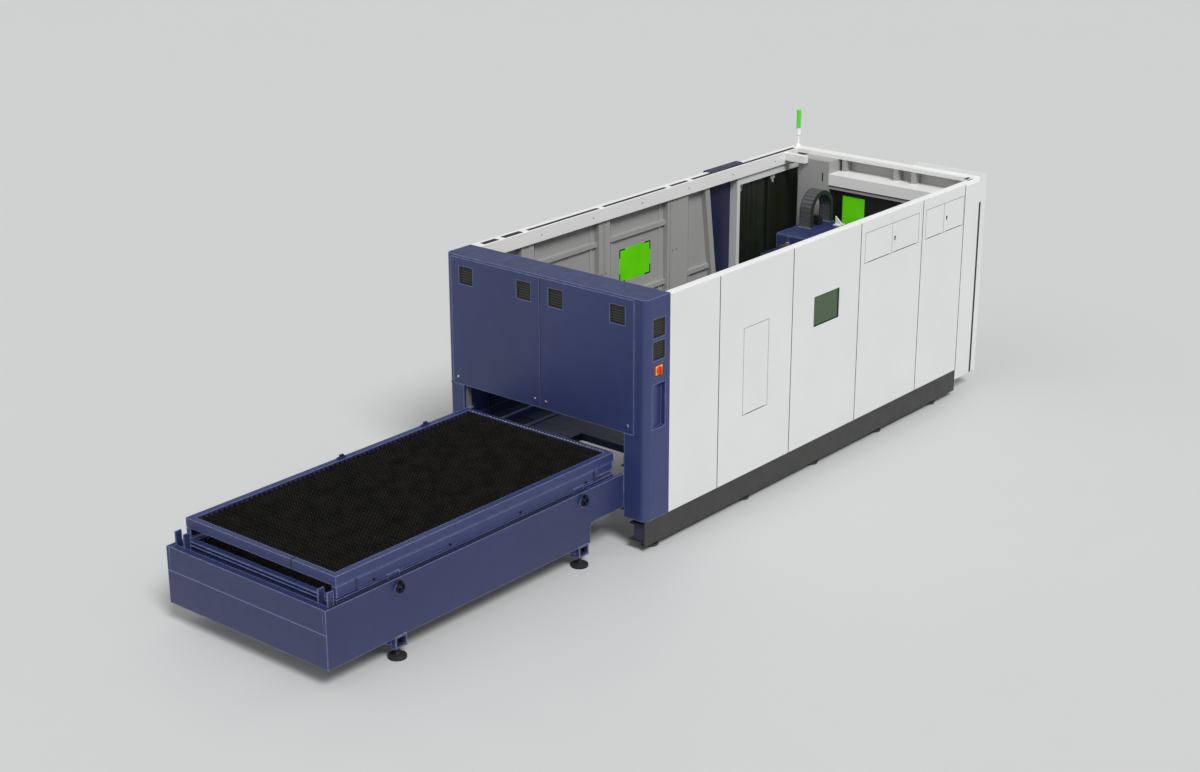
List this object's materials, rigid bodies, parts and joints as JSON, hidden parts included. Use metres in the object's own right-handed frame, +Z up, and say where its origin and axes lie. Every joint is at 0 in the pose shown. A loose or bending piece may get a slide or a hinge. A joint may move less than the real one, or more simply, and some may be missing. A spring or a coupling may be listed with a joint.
{
  "type": "fiber laser cutting machine",
  "caption": "Enclosed flat-bed laser cutting machine with an exchange table: serrated slat pallets on a lift shuttle into a cabin with a gantry, cross carriage and cutting head.",
  "frame": {"origin": "centre of the bounding box on the floor", "axes": "+X from the exchange table to the rear bay along the machine, +Y to the side with the sliding door, +Z up"},
  "size_m": [8.78, 2.294, 2.604],
  "materials": {
    "accent_panel": "satin dark blue powder coat",
    "cross_carriage": "satin dark blue powder coat",
    "cutting_head": "satin dark grey paint",
    "door_frame": "satin white powder coat",
    "door_leaf_1": "dark green glazed leaf",
    "door_leaf_2": "dark green glazed leaf",
    "far_wall": "satin grey paint",
    "far_window": "bright green laser safety glazing",
    "flap_lock_far_1": "bright plated",
    "flap_lock_far_2": "bright plated",
    "flap_lock_near_1": "bright plated",
    "flap_lock_near_2": "bright plated",
    "front_flap_far": "satin dark blue powder coat",
    "front_flap_near": "satin dark blue powder coat",
    "front_vent_far_1": "matt black grille",
    "front_vent_far_2": "matt black grille",
    "front_vent_near_1": "matt black grille",
    "front_vent_near_2": "matt black grille",
    "gantry_beam": "satin dark blue powder coat",
    "hatch_4_front": "satin white powder coat",
    "hatch_4_rear": "satin white powder coat",
    "hatch_5_front": "satin white powder coat",
    "hatch_5_rear": "satin white powder coat",
    "head_cable_chain": "matt black",
    "lift_frame": "satin dark blue powder coat",
    "loading_shutter": "satin grey paint",
    "lower_pallet_frame": "satin dark blue powder coat",
    "lower_pallet_slats": "blackened, scorched sheet steel",
    "machine_bed": "satin dark blue powder coat",
    "near_window": "dark green laser safety glazing",
    "plinth_far": "satin dark grey paint",
    "plinth_near": "satin dark grey paint",
    "portal_frame": "satin dark blue powder coat",
    "rear_cabinet": "satin white powder coat",
    "rear_door": "satin white powder coat",
    "rear_frame": "satin white powder coat",
    "rear_inner_wall": "matt black paint",
    "rear_window": "bright green laser safety glazing",
    "roof_frame": "satin white powder coat",
    "service_hatch": "satin white powder coat",
    "shuttle_drive": "satin dark blue powder coat",
    "side_vent_1": "matt black grille",
    "side_vent_2": "matt black grille",
    "stack_light_lens": "translucent green",
    "stack_light_stem": "white",
    "switch_handle": "red",
    "switch_plate": "yellow",
    "table_base": "satin dark blue powder coat",
    "table_foot_far_1": "matt black",
    "table_foot_far_2": "matt black",
    "table_foot_near_1": "matt black",
    "table_foot_near_2": "matt black",
    "upper_pallet_frame": "satin dark blue powder coat",
    "upper_pallet_slats": "blackened, scorched sheet steel",
    "wall_panel_1": "satin white powder coat",
    "wall_panel_2": "satin white powder coat",
    "wall_panel_3": "satin white powder coat",
    "wall_panel_4": "satin white powder coat",
    "wall_panel_5": "satin white powder coat"
  },
  "bodies": {
    "machine": {"accent_panel": "accent_panel", "door_frame": "door_frame", "far_wall": "far_wall", "far_window": "far_window", "machine_bed": "machine_bed", "near_window": "near_window", "plinth_far": "plinth_far", "plinth_near": "plinth_near", "portal_frame": "portal_frame", "rear_cabinet": "rear_cabinet", "rear_frame": "rear_frame", "rear_inner_wall": "rear_inner_wall", "rear_window": "rear_window", "roof_frame": "roof_frame", "shuttle_drive": "shuttle_drive", "side_vent_1": "side_vent_1", "side_vent_2": "side_vent_2", "stack_light_lens": "stack_light_lens", "stack_light_stem": "stack_light_stem", "switch_plate": "switch_plate", "table_base": "table_base", "table_foot_far_1": "table_foot_far_1", "table_foot_far_2": "table_foot_far_2", "table_foot_near_1": "table_foot_near_1", "table_foot_near_2": "table_foot_near_2", "wall_panel_1": "wall_panel_1", "wall_panel_2": "wall_panel_2", "wall_panel_3": "wall_panel_3", "wall_panel_4": "wall_panel_4", "wall_panel_5": "wall_panel_5"},
    "lift": {"lift_frame": "lift_frame"},
    "upper_pallet": {"upper_pallet_frame": "upper_pallet_frame", "upper_pallet_slats": "upper_pallet_slats"},
    "lower_pallet": {"lower_pallet_frame": "lower_pallet_frame", "lower_pallet_slats": "lower_pallet_slats"},
    "flap_near": {"front_flap_near": "front_flap_near", "front_vent_near_1": "front_vent_near_1", "front_vent_near_2": "front_vent_near_2"},
    "flap_far": {"front_flap_far": "front_flap_far", "front_vent_far_1": "front_vent_far_1", "front_vent_far_2": "front_vent_far_2"},
    "lock_near_1": {"flap_lock_near_1": "flap_lock_near_1"},
    "lock_near_2": {"flap_lock_near_2": "flap_lock_near_2"},
    "lock_far_1": {"flap_lock_far_1": "flap_lock_far_1"},
    "lock_far_2": {"flap_lock_far_2": "flap_lock_far_2"},
    "main_switch": {"switch_handle": "switch_handle"},
    "shutter": {"loading_shutter": "loading_shutter"},
    "service_leaf": {"service_hatch": "service_hatch"},
    "leaf_4_front": {"hatch_4_front": "hatch_4_front"},
    "leaf_4_rear": {"hatch_4_rear": "hatch_4_rear"},
    "leaf_5_front": {"hatch_5_front": "hatch_5_front"},
    "leaf_5_rear": {"hatch_5_rear": "hatch_5_rear"},
    "door_1": {"door_leaf_1": "door_leaf_1"},
    "door_2": {"door_leaf_2": "door_leaf_2"},
    "back_door": {"rear_door": "rear_door"},
    "gantry": {"gantry_beam": "gantry_beam"},
    "carriage": {"cross_carriage": "cross_carriage", "head_cable_chain": "head_cable_chain"},
    "head": {"cutting_head": "cutting_head"}
  },
  "joints": [
    {"name": "table_lift", "type": "slide", "parent": "machine", "child": "lift", "axis": [0, 0, -1], "range_m": [-0.187, 0]},
    {"name": "upper_shuttle", "type": "slide", "parent": "lift", "child": "upper_pallet", "axis": [1, 0, 0], "range_m": [0, 3.65]},
    {"name": "lower_shuttle", "type": "slide", "parent": "lift", "child": "lower_pallet", "axis": [1, 0, 0], "range_m": [0, 3.65]},
    {"name": "flap_near_hinge", "type": "hinge", "parent": "machine", "child": "flap_near", "pos_m": [-1.017, -0.479, 2.195], "axis": [0, 1, 0], "range_deg": [0, 75]},
    {"name": "flap_far_hinge", "type": "hinge", "parent": "machine", "child": "flap_far", "pos_m": [-1.017, 0.545, 2.195], "axis": [0, 1, 0], "range_deg": [0, 75]},
    {"name": "lock_near_1_turn", "type": "hinge", "parent": "flap_near", "child": "lock_near_1", "pos_m": [-1.017, -0.929, 1.101], "axis": [-1, 0, 0], "range_deg": [0, 90]},
    {"name": "lock_near_2_turn", "type": "hinge", "parent": "flap_near", "child": "lock_near_2", "pos_m": [-1.017, -0.029, 1.101], "axis": [-1, 0, 0], "range_deg": [0, 90]},
    {"name": "lock_far_1_turn", "type": "hinge", "parent": "flap_far", "child": "lock_far_1", "pos_m": [-1.017, 0.095, 1.101], "axis": [-1, 0, 0], "range_deg": [0, 90]},
    {"name": "lock_far_2_turn", "type": "hinge", "parent": "flap_far", "child": "lock_far_2", "pos_m": [-1.017, 0.995, 1.101], "axis": [-1, 0, 0], "range_deg": [0, 90]},
    {"name": "main_switch_turn", "type": "hinge", "parent": "machine", "child": "main_switch", "pos_m": [-0.845, -1.117, 1.587], "axis": [0, 1, 0], "range_deg": [0, 90]},
    {"name": "shutter_lift", "type": "slide", "parent": "machine", "child": "shutter", "axis": [0, 0, 1], "range_m": [-0.27, 0]},
    {"name": "service_leaf_hinge", "type": "hinge", "parent": "machine", "child": "service_leaf", "pos_m": [0.336, -1.117, 1.242], "axis": [0, 0, 1], "range_deg": [-100, 0]},
    {"name": "leaf_4_front_hinge", "type": "hinge", "parent": "machine", "child": "leaf_4_front", "pos_m": [2.21, -1.117, 1.942], "axis": [0, 0, 1], "range_deg": [-100, 0]},
    {"name": "leaf_4_rear_hinge", "type": "hinge", "parent": "machine", "child": "leaf_4_rear", "pos_m": [3.138, -1.117, 1.942], "axis": [0, 0, 1], "range_deg": [0, 100]},
    {"name": "leaf_5_front_hinge", "type": "hinge", "parent": "machine", "child": "leaf_5_front", "pos_m": [3.27, -1.117, 1.942], "axis": [0, 0, 1], "range_deg": [-100, 0]},
    {"name": "leaf_5_rear_hinge", "type": "hinge", "parent": "machine", "child": "leaf_5_rear", "pos_m": [3.97, -1.117, 1.942], "axis": [0, 0, 1], "range_deg": [0, 100]},
    {"name": "door_1_slide", "type": "slide", "parent": "machine", "child": "door_1", "axis": [1, 0, 0], "range_m": [0, 0.518]},
    {"name": "door_2_slide", "type": "slide", "parent": "machine", "child": "door_2", "axis": [1, 0, 0], "range_m": [-0.518, 0]},
    {"name": "back_door_hinge", "type": "hinge", "parent": "machine", "child": "back_door", "pos_m": [4.39, -0.34, 0.168], "axis": [0, 0, 1], "range_deg": [0, 110]},
    {"name": "x_axis", "type": "slide", "parent": "machine", "child": "gantry", "axis": [1, 0, 0], "range_m": [-3.68, 0]},
    {"name": "y_axis", "type": "slide", "parent": "gantry", "child": "carriage", "axis": [0, 1, 0], "range_m": [-1.135, 0.365]},
    {"name": "z_axis", "type": "slide", "parent": "carriage", "child": "head", "axis": [0, 0, 1], "range_m": [-0.1, 0]}
  ]
}
